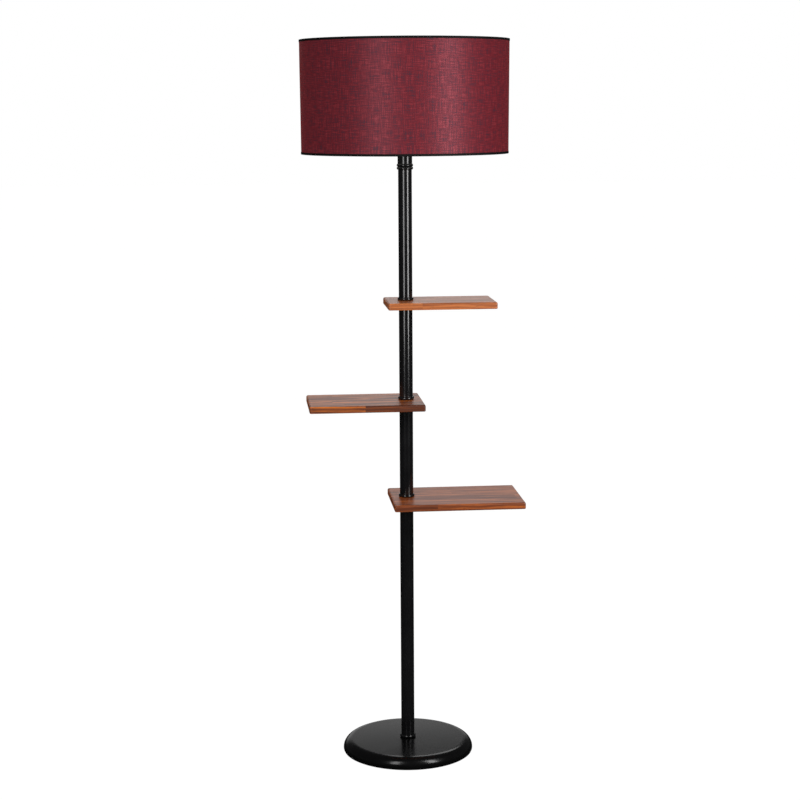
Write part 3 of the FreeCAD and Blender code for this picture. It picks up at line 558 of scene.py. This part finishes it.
floor_mesh = bpy.data.meshes.new("floor")
floor_corners = [(FLOOR_HALF * x, FLOOR_HALF * y, 0.0) for x, y in ((-1, -1), (1, -1), (1, 1), (-1, 1))]
floor_mesh.from_pydata(floor_corners, [], [(0, 1, 2, 3)])
floor = bpy.data.objects.new("floor", floor_mesh)
bpy.context.scene.collection.objects.link(floor)


def floor_paper():
    paper = bpy.data.materials.new("pale_floor")
    paper.use_nodes = True
    nodes = Nodes(paper.node_tree)
    nodes.tree.nodes.clear()

    def matt(level):
        return nodes.add("ShaderNodeBsdfDiffuse", {"Color": gray(level)}).outputs[0]

    glow = nodes.add("ShaderNodeEmission", {"Color": gray(1.0), "Strength": FLOOR_GLOW}).outputs[0]
    seen = nodes.add("ShaderNodeAddShader", {0: matt(FLOOR_SHADOW), 1: glow}).outputs[0]
    surface = nodes.by_ray(seen=seen, mirrored=matt(FLOOR_MIRRORED), other=matt(FLOOR_LIGHT))
    nodes.add("ShaderNodeOutputMaterial", {"Surface": surface})
    return paper


floor_mesh.materials.append(floor_paper())


# Studio: a white backdrop, an even fill, and a bright wall behind the lamp that gloss mirrors.
# Directions are unit vectors, so 1 is straight to the rear or straight up.

BACKDROP = 1.0
FILL = 0.42
ROOM_LIGHT = 0.055
WALL_LIGHT = 0.95
WALL_EDGE, WALL_FULL = 0.36, 0.87  # how far to the rear a ray goes where the wall begins and is full
WALL_FALL_UP = 1.2  # how strongly the wall fades upwards
WALL_FALL_ASIDE = 2.0  # how strongly it fades to both sides
HORIZON, HORIZON_TOP = 0.04, 0.1  # how far up a ray goes where the wall comes out of the dark
BELOW_HORIZON = 0.07


def studio():
    world = bpy.data.worlds.new("studio")
    world.use_nodes = True
    world.cycles.sampling_method = "NONE"
    nodes = Nodes(world.node_tree)
    nodes.tree.nodes.clear()

    def light(strength):
        return nodes.add("ShaderNodeBackground", {"Color": gray(1.0), "Strength": strength}).outputs[0]

    towards = nodes.add("ShaderNodeTexCoord").outputs["Generated"]
    sideways, rearwards, upwards = nodes.split(towards)
    aside = nodes.times(nodes.times(sideways, sideways), WALL_FALL_ASIDE)
    to_wall = nodes.minus(nodes.minus(rearwards, nodes.times(upwards, WALL_FALL_UP)), aside)
    wall = nodes.fade(to_wall, WALL_EDGE, WALL_FULL, 0.0, WALL_LIGHT)
    above = nodes.fade(upwards, HORIZON, HORIZON_TOP, BELOW_HORIZON, 1.0)
    room = nodes.plus(nodes.times(wall, above), ROOM_LIGHT)
    surface = nodes.by_ray(seen=light(BACKDROP), mirrored=light(room), other=light(FILL))
    nodes.add("ShaderNodeOutputWorld", {"Surface": surface})
    return world


bpy.context.scene.world = studio()


# Lights

SOFTBOX = {"distance": 1.6, "height": 1.36, "size": (0.42, 1.28)}
AIM_HEIGHT = 1.15


def softbox(name, turn, distance, height, size, power):
    """Rectangular light at a turn from the front, towards +X, aimed at the pole."""
    light = bpy.data.lights.new(name, "AREA")
    light.shape = "RECTANGLE"
    light.size, light.size_y = size
    light.energy = power
    made = bpy.data.objects.new(name, light)
    bpy.context.scene.collection.objects.link(made)
    turn = math.radians(turn)
    made.location = (distance * math.sin(turn), -distance * math.cos(turn), height)
    towards = Vector((0.0, 0.0, AIM_HEIGHT)) - made.location
    made.rotation_euler = towards.to_track_quat("-Z", "Y").to_euler()
    made.visible_camera = False


softbox("left_softbox", turn=-29.5, power=10.5, **SOFTBOX)
softbox("right_softbox", turn=40.5, power=17.5, **SOFTBOX)
softbox("rear_light", turn=165.0, power=12.0, distance=3.0, height=2.6, size=(1.6, 1.0))


# Camera, in metres and degrees

IMAGE_SIZE = 800
FOCAL_PIXELS = 1842.0
SENSOR = 36.0
CAMERA_DISTANCE = 4.055
CAMERA_HEIGHT = 1.4635
LAMP_YAW = 5.49
CAMERA_PAN = -0.193
CAMERA_PITCH = 9.15
CAMERA_ROLL = -0.337

camera_data = bpy.data.cameras.new("camera")
camera_data.sensor_width = SENSOR
camera_data.lens = FOCAL_PIXELS / IMAGE_SIZE * SENSOR
camera = bpy.data.objects.new("camera", camera_data)
bpy.context.scene.collection.objects.link(camera)
bpy.context.scene.camera = camera
yaw = math.radians(LAMP_YAW)
heading = math.radians(LAMP_YAW + CAMERA_PAN)
pitch = math.radians(CAMERA_PITCH)
level_forward = Vector((math.sin(heading), math.cos(heading), 0.0))
forward = level_forward * math.cos(pitch) + Vector((0.0, 0.0, -math.sin(pitch)))
right = Vector((math.cos(heading), -math.sin(heading), 0.0))
right.rotate(Matrix.Rotation(math.radians(-CAMERA_ROLL), 3, forward))
upwards = right.cross(forward)
turned = Matrix((right, upwards, -forward)).transposed()
stand_point = (-CAMERA_DISTANCE * math.sin(yaw), -CAMERA_DISTANCE * math.cos(yaw), CAMERA_HEIGHT)
camera.matrix_world = Matrix.Translation(stand_point) @ turned.to_4x4()

bpy.context.scene.view_settings.view_transform = "Standard"
